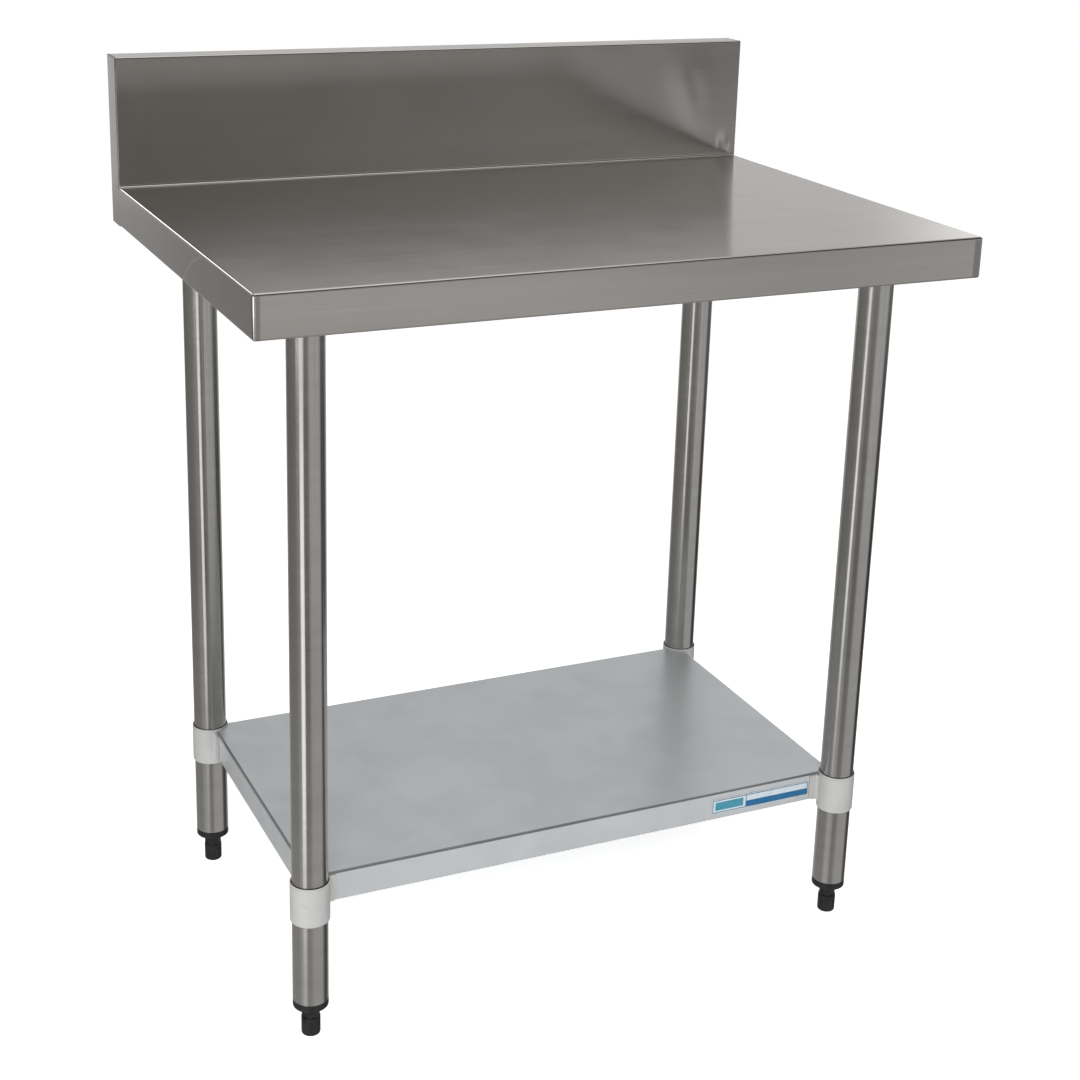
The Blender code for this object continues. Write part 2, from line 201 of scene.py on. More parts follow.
def grain(obj, along):
    """A UV map in metres for brushed metal: V along the brushing, U across it.

    The brushing runs along X, along Z or round an upright axis ("ring"); the second material is
    always brushed upright:
    a ground band whose darker tint is painted shade, and on an end plate painted shade along its
    rounded edges.
    """
    bm = bmesh.new()
    bm.from_mesh(obj.data)
    layer = bm.loops.layers.uv.new("grain")
    for face in bm.faces:
        normal = face.normal
        if along == "ring":
            brushed = Vector((0, 0, 1)).cross(normal)
        else:
            wanted = Vector((1, 0, 0)) if along == "X" else Vector((0, 0, 1))
            if face.material_index == 1:
                wanted = Vector((0, 0, 1))
            brushed = wanted - normal * normal.dot(wanted)
        if brushed.length < 0.1:
            brushed = Vector((0, 0, 1)) if abs(normal.z) < 0.9 else Vector((1, 0, 0))
        brushed.normalize()
        across = brushed.cross(normal)
        for loop in face.loops:
            place = loop.vert.co
            loop[layer].uv = (place.dot(across), place.dot(brushed))
    bm.to_mesh(obj.data)
    bm.free()
    return obj


def thicken(obj):
    """Gives a sheet its thickness, inwards from its outer face."""
    solidify = obj.modifiers.new("thickness", "SOLIDIFY")
    solidify.thickness = SHEET
    solidify.offset = -1
    solidify.use_even_offset = True
    return obj


def cut(obj, cutter):
    """Takes the cutter's shape out of obj for good, and removes the cutter."""
    boolean(obj, cutter, "DIFFERENCE")


def join(obj, other):
    """Makes other one with obj, and removes it as a separate object."""
    boolean(obj, other, "UNION")


def boolean(obj, other, operation):
    modifier = obj.modifiers.new("boolean", "BOOLEAN")
    modifier.operation = operation
    modifier.solver = "EXACT"
    modifier.object = other
    bake(obj)
    bpy.data.objects.remove(other)


def bake(obj):
    """Turns the modifiers into mesh."""
    graph = bpy.context.evaluated_depsgraph_get()
    graph.update()
    mesh = bpy.data.meshes.new_from_object(obj.evaluated_get(graph))
    obj.modifiers.clear()
    obj.data = mesh
    mesh.set_sharp_from_angle(angle=SHARP)


def finish_sheet(obj):
    """Flat areas keep flat shading right up to their folds."""
    weighted = obj.modifiers.new("flat_areas", "WEIGHTED_NORMAL")
    weighted.keep_sharp = True


def install(obj, body, slot, *nodes):
    """Hands a finished piece to the frame, in place of its CAD nodes."""
    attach(obj, body)
    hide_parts(*nodes)


# ---- materials ----
class Finish:
    """A node material around one Principled shader."""

    def __init__(self, name, metallic, roughness):
        self.material = bpy.data.materials.new(name)
        self.material.use_nodes = True
        self.nodes = self.material.node_tree.nodes
        self.links = self.material.node_tree.links
        self.shader = self.nodes["Principled BSDF"]
        self.shader.inputs["Metallic"].default_value = metallic
        self.shader.inputs["Roughness"].default_value = roughness

    def node(self, kind, **settings):
        made = self.nodes.new(f"ShaderNode{kind}")
        for key, value in settings.items():
            setattr(made, key, value)
        return made

    def link(self, source, target):
        self.links.new(source, target)

    def places(self, scale, uv=False):
        """Coordinates in metres times scale: the brushing's UV map, or the piece's own space."""
        if uv:
            source = self.node("UVMap", uv_map="grain").outputs["UV"]
        else:
            source = self.node("TexCoord").outputs["Object"]
        mapping = self.node("Mapping")
        mapping.inputs["Scale"].default_value = scale
        self.link(source, mapping.inputs["Vector"])
        return mapping.outputs["Vector"]

    def noise(self, scale, uv=False, detail=2, distortion=0.0):
        texture = self.node("TexNoise")
        texture.inputs["Scale"].default_value = 1
        texture.inputs["Detail"].default_value = detail
        texture.inputs["Distortion"].default_value = distortion
        self.link(self.places(scale, uv), texture.inputs["Vector"])
        return texture.outputs["Fac"]

    def span(self, value, low, high, source=(0.3, 0.7)):
        """Moves a noise value into the range low to high."""
        ranged = self.node("MapRange")
        names = "From Min", "From Max", "To Min", "To Max"
        for name, number in zip(names, (*source, low, high)):
            ranged.inputs[name].default_value = number
        self.link(value, ranged.inputs["Value"])
        return ranged.outputs["Result"]

    def ramp(self, value, *stops):
        """A colour ramp with stops of (position, colour)."""
        ramp = self.node("ValToRGB")
        elements = ramp.color_ramp.elements
        while len(elements) < len(stops):
            elements.new(0.5)
        for element, (position, colour) in zip(elements, stops):
            element.position = position
            element.color = (*colour, 1)
        self.link(value, ramp.inputs["Fac"])
        return ramp.outputs["Color"]

    def math(self, first, second, operation="ADD"):
        """A sum, or another operation, of two sockets or numbers."""
        made = self.node("Math", operation=operation)
        for socket, value in zip(made.inputs, (first, second)):
            if isinstance(value, (int, float)):
                socket.default_value = value
            else:
                self.link(value, socket)
        return made.outputs["Value"]

    def colour(self, socket):
        self.link(socket, self.shader.inputs["Base Color"])

    def rough(self, socket):
        self.link(socket, self.shader.inputs["Roughness"])

    def bump(self, *layers):
        """Bumps of (height, distance in metres, strength), the coarsest first."""
        before = None
        for height, distance, strength in layers:
            bump = self.node("Bump")
            bump.inputs["Distance"].default_value = distance
            bump.inputs["Strength"].default_value = strength
            self.link(height, bump.inputs["Height"])
            if before:
                self.link(before, bump.inputs["Normal"])
            before = bump.outputs["Normal"]
        self.link(before, self.shader.inputs["Normal"])

    def brushed(self, amount):
        self.shader.inputs["Anisotropic"].default_value = amount
        tangent = self.node("Tangent", direction_type="UV_MAP", uv_map="grain")
        self.link(tangent.outputs["Tangent"], self.shader.inputs["Tangent"])


def curved_scuff(steel):
    """A faint polished arc on the left skirt, as a mask from the sheet's own coordinates."""
    centre_y, centre_z, radius, half_width = -0.142, 0.750, 0.1475, 0.0022
    front_end, strength = -0.115, 0.45
    place = steel.node("SeparateXYZ")
    steel.link(steel.places((1, 1, 1)), place.inputs["Vector"])
    along = steel.math(place.outputs["Y"], centre_y, "SUBTRACT")
    up = steel.math(place.outputs["Z"], centre_z, "SUBTRACT")
    reach = steel.math(steel.math(along, along, "MULTIPLY"), steel.math(up, up, "MULTIPLY"))
    offset = steel.math(steel.math(reach, 0.5, "POWER"), radius, "SUBTRACT")
    line = steel.span(steel.math(offset, 0, "ABSOLUTE"), 1, 0, (0, half_width))
    on_skirt = steel.math(place.outputs["X"], 0.001 - HALF_WIDTH, "LESS_THAN")
    behind = steel.math(place.outputs["Y"], front_end, "GREATER_THAN")
    here = steel.math(on_skirt, behind, "MULTIPLY")
    return steel.math(line, steel.math(here, strength, "MULTIPLY"), "MULTIPLY")


def brushed_steel(name, dark, light, low_rough, high_rough, anisotropy, scuffed=False):
    """Stainless sheet with fine brushing, faint hand marks and a slightly uneven surface."""
    steel = Finish(name, 1, low_rough)
    fine = steel.noise((2600, 14, 1), uv=True, detail=3)
    streaks = steel.noise((420, 2.5, 1), uv=True, detail=2)
    bands = steel.noise((70, 0.8, 1), uv=True, detail=3)
    cloud = steel.noise((9, 9, 9), detail=3)
    waves = steel.noise((5, 5, 5), detail=1)
    mottle = steel.math(steel.math(cloud, bands), 0.5, "MULTIPLY")
    colour = steel.ramp(mottle, (0.36, dark), (0.64, light))
    if scuffed:
        bright = steel.node("MixRGB")
        steel.link(curved_scuff(steel), bright.inputs["Fac"])
        steel.link(colour, bright.inputs["Color1"])
        bright.inputs["Color2"].default_value = (0.95, 0.92, 0.88, 1)
        colour = bright.outputs["Color"]
    steel.colour(colour)
    rough = steel.span(streaks, low_rough, high_rough)
    steel.rough(steel.math(rough, steel.span(cloud, -0.012, 0.012)))
    steel.bump((waves, 0.0012, 0.35), (streaks, 0.00004, 0.25), (fine, 0.00001, 0.35))
    steel.brushed(anisotropy)
    return steel.material


def galvanised_steel(name, dark, light, low_rough, high_rough, metallic):
    """Zinc-coated sheet: a satin skin with faint clouds, scuffs and fine rolling lines."""
    zinc = Finish(name, metallic, low_rough)
    cloud = zinc.noise((14, 14, 14), detail=4, distortion=0.6)
    spangle = zinc.noise((260, 260, 260), detail=1)
    lines = zinc.noise((6, 700, 700), detail=2)
    zinc.colour(zinc.ramp(cloud, (0.32, dark), (0.62, light)))
    rough = zinc.span(spangle, low_rough, high_rough)
    zinc.rough(zinc.math(rough, zinc.span(cloud, 0.02, -0.02)))
    zinc.bump((cloud, 0.0004, 0.3), (lines, 0.00002, 0.3), (spangle, 0.00002, 0.2))
    return zinc.material


def bright_zinc():
    """Plated fasteners."""
    zinc = Finish("plated_fasteners", 1, 0.3)
    fine = zinc.noise((900, 900, 900), detail=2)
    zinc.colour(zinc.ramp(fine, (0.3, (0.48, 0.47, 0.42)), (0.7, (0.62, 0.61, 0.57))))
    zinc.rough(zinc.span(fine, 0.30, 0.40))
    zinc.bump((fine, 0.00003, 0.4))
    return zinc.material


def black_plastic():
    """Moulded plastic with a fine spark texture and worn, slightly shinier high spots."""
    plastic = Finish("moulded_black", 0, 0.42)
    grain_noise = plastic.noise((1800, 1800, 1800), detail=2)
    dust = plastic.noise((90, 90, 90), detail=3)
    dark, light = (0.006, 0.006, 0.0065), (0.012, 0.012, 0.0125)
    plastic.colour(plastic.ramp(dust, (0.35, dark), (0.75, light)))
    plastic.rough(plastic.span(dust, 0.34, 0.48))
    plastic.bump((grain_noise, 0.00005, 0.5))
    return plastic.material


def bitumen():
    """Sound-deadening pad, matt and slightly lumpy."""
    pad = Finish("deadening_pad", 0, 0.85)
    lumps = pad.noise((160, 160, 160), detail=3)
    pad.colour(pad.ramp(lumps, (0.3, (0.018, 0.018, 0.018)), (0.7, (0.045, 0.044, 0.043))))
    pad.rough(pad.span(lumps, 0.75, 0.92))
    pad.bump((lumps, 0.0006, 0.6))
    return pad.material


def printed_film(low, high):
    """A plain label: pale film, a thin frame, a teal block and a blue band, and no text."""
    film = Finish("two_tone_film", 0, 0.3)
    place = film.node("SeparateXYZ")
    film.link(film.places((1, 1, 1)), place.inputs["Vector"])
    across = film.math(film.math(place.outputs["X"], low.x, "SUBTRACT"), 1000, "MULTIPLY")
    up = film.math(film.math(place.outputs["Z"], low.z, "SUBTRACT"), 1000, "MULTIPLY")
    width, height = (high.x - low.x) * 1000, (high.z - low.z) * 1000

    def within(left, right, bottom, top):
        """1 inside a rectangle given in millimetres from the label's lower left corner."""
        sides = [(across, left, "GREATER_THAN"), (across, right, "LESS_THAN")]
        sides += [(up, bottom, "GREATER_THAN"), (up, top, "LESS_THAN")]
        inside = 1
        for value, limit, test in sides:
            inside = film.math(film.math(value, limit, test), inside, "MULTIPLY")
        return inside

    def over(under, upper, mask):
        mix = film.node("MixRGB")
        film.link(mask, mix.inputs["Fac"])
        film.link(under, mix.inputs["Color1"])
        film.link(upper, mix.inputs["Color2"])
        return mix.outputs["Color"]

    tint = film.noise((60, 60, 60), detail=2)
    pale = film.ramp(tint, (0.3, (0.36, 0.41, 0.45)), (0.7, (0.39, 0.44, 0.48)))
    blue = film.ramp(tint, (0.3, (0.002, 0.080, 0.190)), (0.7, (0.003, 0.088, 0.205)))
    teal = film.ramp(tint, (0.3, (0.030, 0.170, 0.235)), (0.7, (0.034, 0.180, 0.250)))
    ink = film.ramp(tint, (0.3, (0.010, 0.060, 0.110)), (0.7, (0.012, 0.066, 0.120)))
    rim, line = 0.9, 1.0
    panel = rim + line
    third = 0.345 * width
    right, half, upper = width - panel, 0.5 * height, height - panel
    look = over(pale, ink, within(rim, width - rim, rim, height - rim))
    look = over(look, pale, within(panel, third, panel, upper))
    look = over(look, pale, within(third + line, right, half, upper))
    look = over(look, blue, within(third + line, right, panel, half))
    look = over(look, teal, within(5.0, third - 3.5, 4.0, height - 4.0))
    film.colour(look)
    film.rough(film.span(tint, 0.24, 0.36))
    film.bump((tint, 0.00003, 0.3))
    return film.material


SHEET_TINTS = (0.54, 0.52, 0.495), (0.58, 0.56, 0.535)
# darker tints for the ground bands and the end plates' rounded edges: painted shade
GROUND_AND_SHADE_TINTS = (0.36, 0.35, 0.335), (0.42, 0.41, 0.39)
TUBE_TINTS = (0.56, 0.55, 0.53), (0.62, 0.61, 0.59)
SHELF_TINTS = (0.53, 0.552, 0.568), (0.57, 0.592, 0.605)
# the shelf's folds are tinted darker than its flat sheet: painted shade along the rounded edges
SHELF_FOLD_SHADE_TINTS = (0.35, 0.36, 0.37), (0.42, 0.43, 0.44)
CLAMP_TINTS = (0.385, 0.385, 0.375), (0.415, 0.415, 0.405)

# After the tints: the roughness range, then the anisotropy of steel or the metallic level of zinc.
STEEL = brushed_steel("brushed_stainless", *SHEET_TINTS, 0.150, 0.172, 0.95, scuffed=True)
FOLD = brushed_steel("folded_stainless", *SHEET_TINTS, 0.10, 0.12, 0.6)
GROUND_AND_SHADE = brushed_steel("ground_stainless_painted_shade", *GROUND_AND_SHADE_TINTS, 0.295, 0.33, 0.6)
TUBE = brushed_steel("polished_tube", *TUBE_TINTS, 0.185, 0.225, 0.8)
SHELF_ZINC = galvanised_steel("galvanised_sheet", *SHELF_TINTS, 0.315, 0.335, 0.62)
FOLD_ZINC_PAINTED_SHADE = galvanised_steel("galvanised_fold_painted_shade", *SHELF_FOLD_SHADE_TINTS, 0.31, 0.33, 0.90)
CAST_ZINC = galvanised_steel("galvanised_clamp", *CLAMP_TINTS, 0.48, 0.56, 0.3)
FASTENERS = bright_zinc()
PLASTIC = black_plastic()
PAD = bitumen()


# ---- worktop and splashback ----
def pan_columns():
    """The columns of the worktop's edge, from its back left round the front to its back right.

    Each is ("side", side, y), ("turn", side, angle in degrees) or ("front", x, 0).
    """
    cove_start = SPLASH_FACE - COVE
    hem_end, support = 2 * HEM, 0.10
    side_ys = [SPLASH_FACE - SEAM, cove_start, cove_start - support]
    side_ys += [FRONT_Y + support, FRONT_Y + hem_end]
    front_xs = [-HALF_WIDTH + 0.7 * WELD_BAND, -HALF_WIDTH + hem_end, -HALF_WIDTH + support, 0]
    front_xs += [HALF_WIDTH - support, HALF_WIDTH - hem_end, HALF_WIDTH - WELD_BAND]
    columns = [("side", -1, y) for y in side_ys]
    columns += [("turn", -1, 180 + 90 * k / BEND_STEPS) for k in range(BEND_STEPS + 1)]
    columns += [("front", x, 0) for x in front_xs]
    columns += [("turn", 1, 270 + 90 * k / BEND_STEPS) for k in range(BEND_STEPS + 1)]
    columns += [("side", 1, y) for y in reversed(side_ys)]
    return columns


def pan_point(column, inset, z):
    """A column's point at a height, drawn in from the outer face by inset."""
    kind, first, second = column
    if kind == "side":
        return first * (HALF_WIDTH - inset), second, z
    if kind == "front":
        limit = HALF_WIDTH - inset
        return max(-limit, min(limit, first)), FRONT_Y + inset, z
    reach = max(BEND, inset)
    radius = max(BEND - inset, 0)
    x = first * (HALF_WIDTH - reach) + radius * cos(radians(second))
    return x, FRONT_Y + reach + radius * sin(radians(second)), z


def swell(x, z):
    """How far welding has pushed the splashback forward: a pillow at each end, a pucker at one."""

    def mound(height, *offsets):
        """A bell of the given height, from (distance from its middle, spread) in each direction."""
        return height * exp(-sum((away / spread) ** 2 for away, spread in offsets))

    low, high = WORK_HEIGHT + COVE, CREST - BEND
    share = min(max((z - low) / (high - low), 0), 1)
    rise, fall = min(1, 1.7 * share), min(1, 3 * (1 - share))
    held = rise * rise * (3 - 2 * rise) * fall * fall * (3 - 2 * fall)
    lean = x + 0.25 * (z - 1.0)
    pillows = mound(0.0014, (lean - 0.350, 0.026)) + mound(0.0004, (x + 0.392, 0.012))
    pucker = mound(-0.0005, (x - 0.406, 0.0055), (z - 0.920, 0.011))
    pucker += mound(0.0004, (x - 0.4165, 0.0032), (z - 0.913, 0.008))
    return held * pillows + min(1, 30 * share) * pucker


def splash_rows():
    """The cove, splashback, crest and rear flange, row by row from the worktop up and over.

    The mesh is finer where swell() bends it. With the rows comes, for each strip between two of
    them, whether it belongs to a fold.
    """
    end = HALF_WIDTH - SHEET - GAP
    low, high = WORK_HEIGHT + COVE, CREST - BEND
    fine, medium, wide = 0.0014, 0.005, 0.07
    xs = spaced(-end, -0.35, medium) + spaced(-0.35, 0.28, wide) + spaced(0.28, 0.39, medium)
    xs += spaced(0.39, end, fine) + [end]
    cove = arc((SPLASH_FACE - COVE, low), COVE, -90, 0, BEND_STEPS)
    levels = spaced(low + 0.001, 0.945, fine) + spaced(0.945, high, 0.008)
    face = [(SPLASH_FACE, z) for z in levels]
    crest = arc((SPLASH_FACE + BEND, high), BEND, 180, 90, BEND_STEPS)
    rear = arc((BACK_Y - BEND, high), BEND, 90, 0, BEND_STEPS)
    profile = cove + face + crest + rear + [(BACK_Y, CREST - REAR_FLANGE)]
    rows = [[(x, y - (swell(x, z) if y == SPLASH_FACE else 0), z) for x in xs] for y, z in profile]
    foot = HALF_WIDTH - BEND
    rows[0][0], rows[0][-1] = (-foot, *rows[0][0][1:]), (foot, *rows[0][-1][1:])
    bends = [set(bend) for bend in (cove, crest, rear)]
    pairs = zip(profile, profile[1:])
    folded = [any({one, other} <= bend for bend in bends) for one, other in pairs]
    return rows, folded


def make_worktop():
    """One folded sheet: hemmed skirts, top, cove, splashback, crest and rear flange."""
    columns = pan_columns()
    quarter = arc((0, 0), BEND, 0, 90, BEND_STEPS)
    top_fold = [(BEND - v, WORK_HEIGHT - BEND + u) for u, v in quarter]
    low_fold = [(BEND - u, SKIRT_BOTTOM + BEND - v) for u, v in quarter]
    section = top_fold + low_fold + [(HEM, SKIRT_BOTTOM)]
    rows = [[pan_point(c, inset, z) for c in columns] for inset, z in section]
    shape = Shape()

    def treatment(row, reversed_column):
        """Folds are polished by the press brake; a ground band runs beside each welded corner,
        tinted darker as painted shade.
        """
        i = len(columns) - 2 - reversed_column
        pair = columns[i][0], columns[i + 1][0]
        if row < BEND_STEPS or row == BEND_STEPS and pair == ("turn", "turn"):
            return 2
        return 1 if sorted(pair) == ["front", "turn"] else 0

    shape.strip([row[::-1] for row in rows], material_of=treatment)
    surface = [p for c, p in zip(columns, rows[0]) if c[0] != "side" or c[2] <= SPLASH_FACE - COVE]
    splash, folded = splash_rows()
    shape.face(surface + splash[0][-2:0:-1])
    splash_down = [row[::-1] for row in splash[::-1]]
    shape.strip(splash_down, material_of=lambda row, _: 2 * folded[-1 - row])
    bmesh.ops.recalc_face_normals(shape.bm, faces=shape.bm.faces)
    up = max(shape.bm.faces, key=lambda f: f.calc_area() * abs(f.normal.z))
    if up.normal.z < 0:
        bmesh.ops.reverse_faces(shape.bm, faces=shape.bm.faces)
    top = grain(shape.done("worktop_sheet", STEEL, GROUND_AND_SHADE, FOLD), "X")
    bake(thicken(top))
    finish_sheet(top)
    install(top, "frame", "stainless", "worktop")


def make_splash_end(side):
    """An end plate: rounded over on its outward edges above the worktop, welded flush below."""
    node = f"splash_end_{side}"
    low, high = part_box(node)
    outer = low.x if side == "left" else high.x
    bm = block(low, high)
    for level in (WORK_HEIGHT, WORK_HEIGHT - JOINT_LINE):
        bmesh.ops.bisect_plane(bm, geom=bm.verts[:] + bm.edges[:] + bm.faces[:], dist=1e-6,
                               plane_co=(0, 0, level), plane_no=(0, 0, 1))

    def outward(edge):
        ends = [v.co for v in edge.verts]
        if any(abs(end.x - outer) > 1e-5 or end.z < WORK_HEIGHT - 1e-5 for end in ends):
            return False
        upright = all(abs(end.y - low.y) < 1e-5 for end in ends)
        topmost = all(abs(end.z - high.z) < 1e-5 for end in ends)
        return upright or topmost

    rounded = [edge for edge in bm.edges if outward(edge)]
    bend = bmesh.ops.bevel(bm, geom=rounded, offset=PLATE_BEND, segments=6, profile=0.5,
                           affect="EDGES")
    # the rounding takes the darker second finish: painted shade along the plate's outward edges
    for face in bend["faces"]:
        face.material_index = 1
    smooth(bm)
    plate = grain(Shape(bm).done(f"{node}_plate", STEEL, GROUND_AND_SHADE), "Z")
    finish_sheet(plate)
    install(plate, "frame", "stainless", node)


# ---- legs ----
def make_leg(corner):
    """A tube with eased rims at both ends."""
    node = f"leg_{corner}"
    low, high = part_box(node)
    x, y, outer = leg_axis(corner)
    wall, lip = 0.0012, 0.00035
    profile = [
        (outer - lip, high.z),
        (outer, high.z - lip),
        (outer, low.z + lip),
        (outer - lip, low.z),
        (outer - wall + lip, low.z),
        (outer - wall, low.z + lip),
        (outer - wall, high.z - lip),
        (outer - wall + lip, high.z),
    ]
    tube = grain(lathe(f"{node}_tube", x, y, profile, TUBE), "ring")
    finish_sheet(tube)
    install(tube, "frame", "stainless_tube", node)


# ---- undershelf ----
def make_undershelf():
    """A pan, open below: a block with rounded edges, its underside inset to a hem and taken out."""
    low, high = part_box("undershelf")
    bm = block(low, high)
    middle = (low.z + high.z) / 2
    folds = [e for e in bm.edges if len({v.co.z > middle for v in e.verts}) == 1]
    bmesh.ops.bevel(bm, geom=folds, offset=BEND, segments=BEND_STEPS, profile=0.5,
                    affect="EDGES")
    under = min(bm.faces, key=lambda f: f.calc_center_median().z)
    bmesh.ops.inset_region(bm, faces=[under], thickness=HEM - BEND, use_even_offset=True)
    bmesh.ops.delete(bm, geom=[under], context="FACES")
    smooth(bm)
    shelf = thicken(Shape(bm).done("undershelf_sheet", SHELF_ZINC, FOLD_ZINC_PAINTED_SHADE))
    bake(shelf)
    for corner in CORNERS:
        x, y, _ = leg_axis(corner)
        notch = [(NOTCH_RADIUS, high.z + 0.01), (NOTCH_RADIUS, low.z - 0.01)]
        cut(shelf, solid_turned("notch", x, y, notch))
    # the upper half's sloping faces, chiefly the rounded top folds, take the darker fold finish:
    # painted shade
    for face in shelf.data.polygons:
        lean = sorted(abs(part) for part in face.normal)
        if lean[2] < 0.995 and face.center.z > middle:
            face.material_index = 1
    finish_sheet(shelf)
    install(shelf, "shelf_unit", "galvanised", "undershelf")


# ---- sleeves ----
TAB_FILLET = 0.004  # where an ear leaves the ring
TAB_CORNER = 0.005  # rounding of an ear's lower outer corner
TAB_REACH = 0.034  # from the leg's axis
TAB_LOW, TAB_HIGH = 0.1595, 0.1925
RIM_CHAMFER = 0.0006


def tab_rows(radius, face, back, reach, low, high):
    """The plan outlines of one ear, level by level: u away from the ring, v off the shelf."""
    root, blend_root, eased_tip = 0.0008, 0.0010, 0.0005
    fillet_u = sqrt((radius + TAB_FILLET) ** 2 - (face + TAB_FILLET) ** 2)
    start = Vector((fillet_u, face + TAB_FILLET)) * (radius / (radius + TAB_FILLET))
    centre = Vector((fillet_u, face + TAB_FILLET))
    blend = []
    for k in range(7):
        turn = Vector((0, -1)).slerp((start - centre).normalized(), k / 6)
        blend.append(centre + turn * TAB_FILLET)
    heights = [low + TAB_CORNER * (1 - cos(radians(15 * k))) for k in range(7)]
    heights += [high - RIM_CHAMFER, high]
    rows = []
    for z in heights:
        drop = max(TAB_CORNER - (z - low), 0)
        end = reach - TAB_CORNER + sqrt(TAB_CORNER**2 - drop**2)
        if z >= high:
            end -= eased_tip
        outline = [(radius - root, back), (end, back), (end, face)]
        outline += [tuple(p) for p in blend]
        outline.append((radius - blend_root, start.y))
        rows.append([(u, v, z) for u, v in outline])
    return rows


def make_sleeve(corner, sx, sy):
    """A clamp: a ring with a groove below its upper rim, a dimple, two ears and a screw hole."""
    node = f"shelf_sleeve_{corner}"
    low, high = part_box(node)
    x, y, tube_radius = leg_axis(corner)
    bore = tube_radius + 0.00045
    radius, top, bottom = SLEEVE_RADIUS, high.z, low.z
    rim, groove = RIM_CHAMFER, 0.00035
    middle = (top + bottom) / 2
    dimple_levels = [middle + 0.0065 - 0.0013 * k for k in range(11)]
    profile = [
        (radius - rim, top),
        (radius - rim * 0.3, top - rim * 0.3),
        (radius, top - rim),
        (radius, top - 0.0020),
        (radius - groove, top - 0.0023),
        (radius - groove, top - 0.0027),
        (radius, top - 0.0030),
        *[(radius, z) for z in dimple_levels],
        (radius, bottom + rim),
        (radius - rim * 0.3, bottom + rim * 0.3),
        (radius - rim, bottom),
        (bore + 0.0003, bottom),
        (bore, bottom + 0.0003),
        (bore, top - 0.0070),
        (radius - 0.0010, top - 0.0062),
        (radius - 0.0010, top - 0.0002),
        (radius - 0.0008, top),
    ]
    sleeve = lathe(f"{node}_clamp", x, y, profile, CAST_ZINC)
    press_dimple(sleeve, Vector((x, y, middle)), radius, sy)
    shelf_low, shelf_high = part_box("undershelf")
    edge_y = shelf_low.y if sy < 0 else shelf_high.y
    edge_x = shelf_low.x if sx < 0 else shelf_high.x
    for name, offset, turn in (("long", sy * (edge_y - y), "x"), ("short", sx * (edge_x - x), "y")):
        back = offset + GAP
        rows = tab_rows(radius, back + SHEET, back, TAB_REACH, TAB_LOW, TAB_HIGH)
        if turn == "x":
            placed = [[(x - sx * u, y + sy * v, z) for u, v, z in row] for row in rows]
        else:
            placed = [[(x + sx * v, y - sy * u, z) for u, v, z in row] for row in rows]
        shape = Shape()
        shape.strip(placed, closed=True)
        shape.face(placed[0])
        shape.face(placed[-1])
        bmesh.ops.recalc_face_normals(shape.bm, faces=shape.bm.faces)
        join(sleeve, shape.done(f"tab_{name}"))
    screw_low, screw_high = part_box(f"sleeve_screw_{corner}")
    centre = (screw_low + screw_high) / 2
    cut(sleeve, screw_hole(centre, Vector((-sx, -sy, 0))))
    finish_sheet(sleeve)
    install(sleeve, "shelf_unit", "galvanised", node)


def press_dimple(sleeve, centre, radius, sy):
    """A shallow round press mark in the outward side of a clamp."""
    if sy < 0:
        direction = Vector((-sin(radians(35)), -cos(radians(35)), 0))
    else:
        direction = Vector((-0.57, 0.82, 0))
    mark = centre + direction * radius
    depth, reach = 0.0009, 0.0050
    for vert in sleeve.data.vertices:
        away = vert.co - mark
        flat = Vector((vert.co.x - centre.x, vert.co.y - centre.y)).length
        if flat > radius - 0.0002 and away.length < reach:
            share = 1 - (away.length / reach) ** 2
            vert.co -= direction * depth * share * share * (3 - 2 * share)


def screw_hole(centre, direction):
    """A drill through a sleeve's wall, for a set screw that lies along direction."""
    radius, length = 0.0033, 0.016
    turn = direction.normalized().to_track_quat("Z", "Y").to_matrix()
    bm = bmesh.new()
    bmesh.ops.create_cone(bm, cap_ends=True, segments=24, radius1=radius, radius2=radius,
                          depth=length)
    bmesh.ops.rotate(bm, matrix=turn, verts=bm.verts)
    bmesh.ops.translate(bm, vec=centre, verts=bm.verts)
    return Shape(bm).done("drill")


# ---- feet ----
def make_insert(corner):
    """The plug in a leg's lower end, with a rounded collar that carries the tube."""
    node = f"foot_insert_{corner}"
    x, y, tube_radius = leg_axis(corner)
    low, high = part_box(node)
    collar_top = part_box(f"leg_{corner}")[0].z - GAP
    body, edge, upper, chamfer = 0.0191, 0.0009, 0.0003, 0.0006
    lower_edge = arc((tube_radius - edge, low.z + edge), edge, 0, -90, 6)
    upper_edge = arc((tube_radius - upper, collar_top - upper), upper, 90, 0, 3)
    profile = [
        (body - 0.0008, high.z),
        (body, high.z - 0.002),
        (body, collar_top),
        *upper_edge,
        *lower_edge,
        (STEM_BORE + chamfer, low.z),
        (STEM_BORE, low.z + chamfer),
        (STEM_BORE, high.z),
    ]
    insert = lathe(f"{node}_cap", x, y, profile, PLASTIC)
    install(insert, "frame", "black_plastic", node)


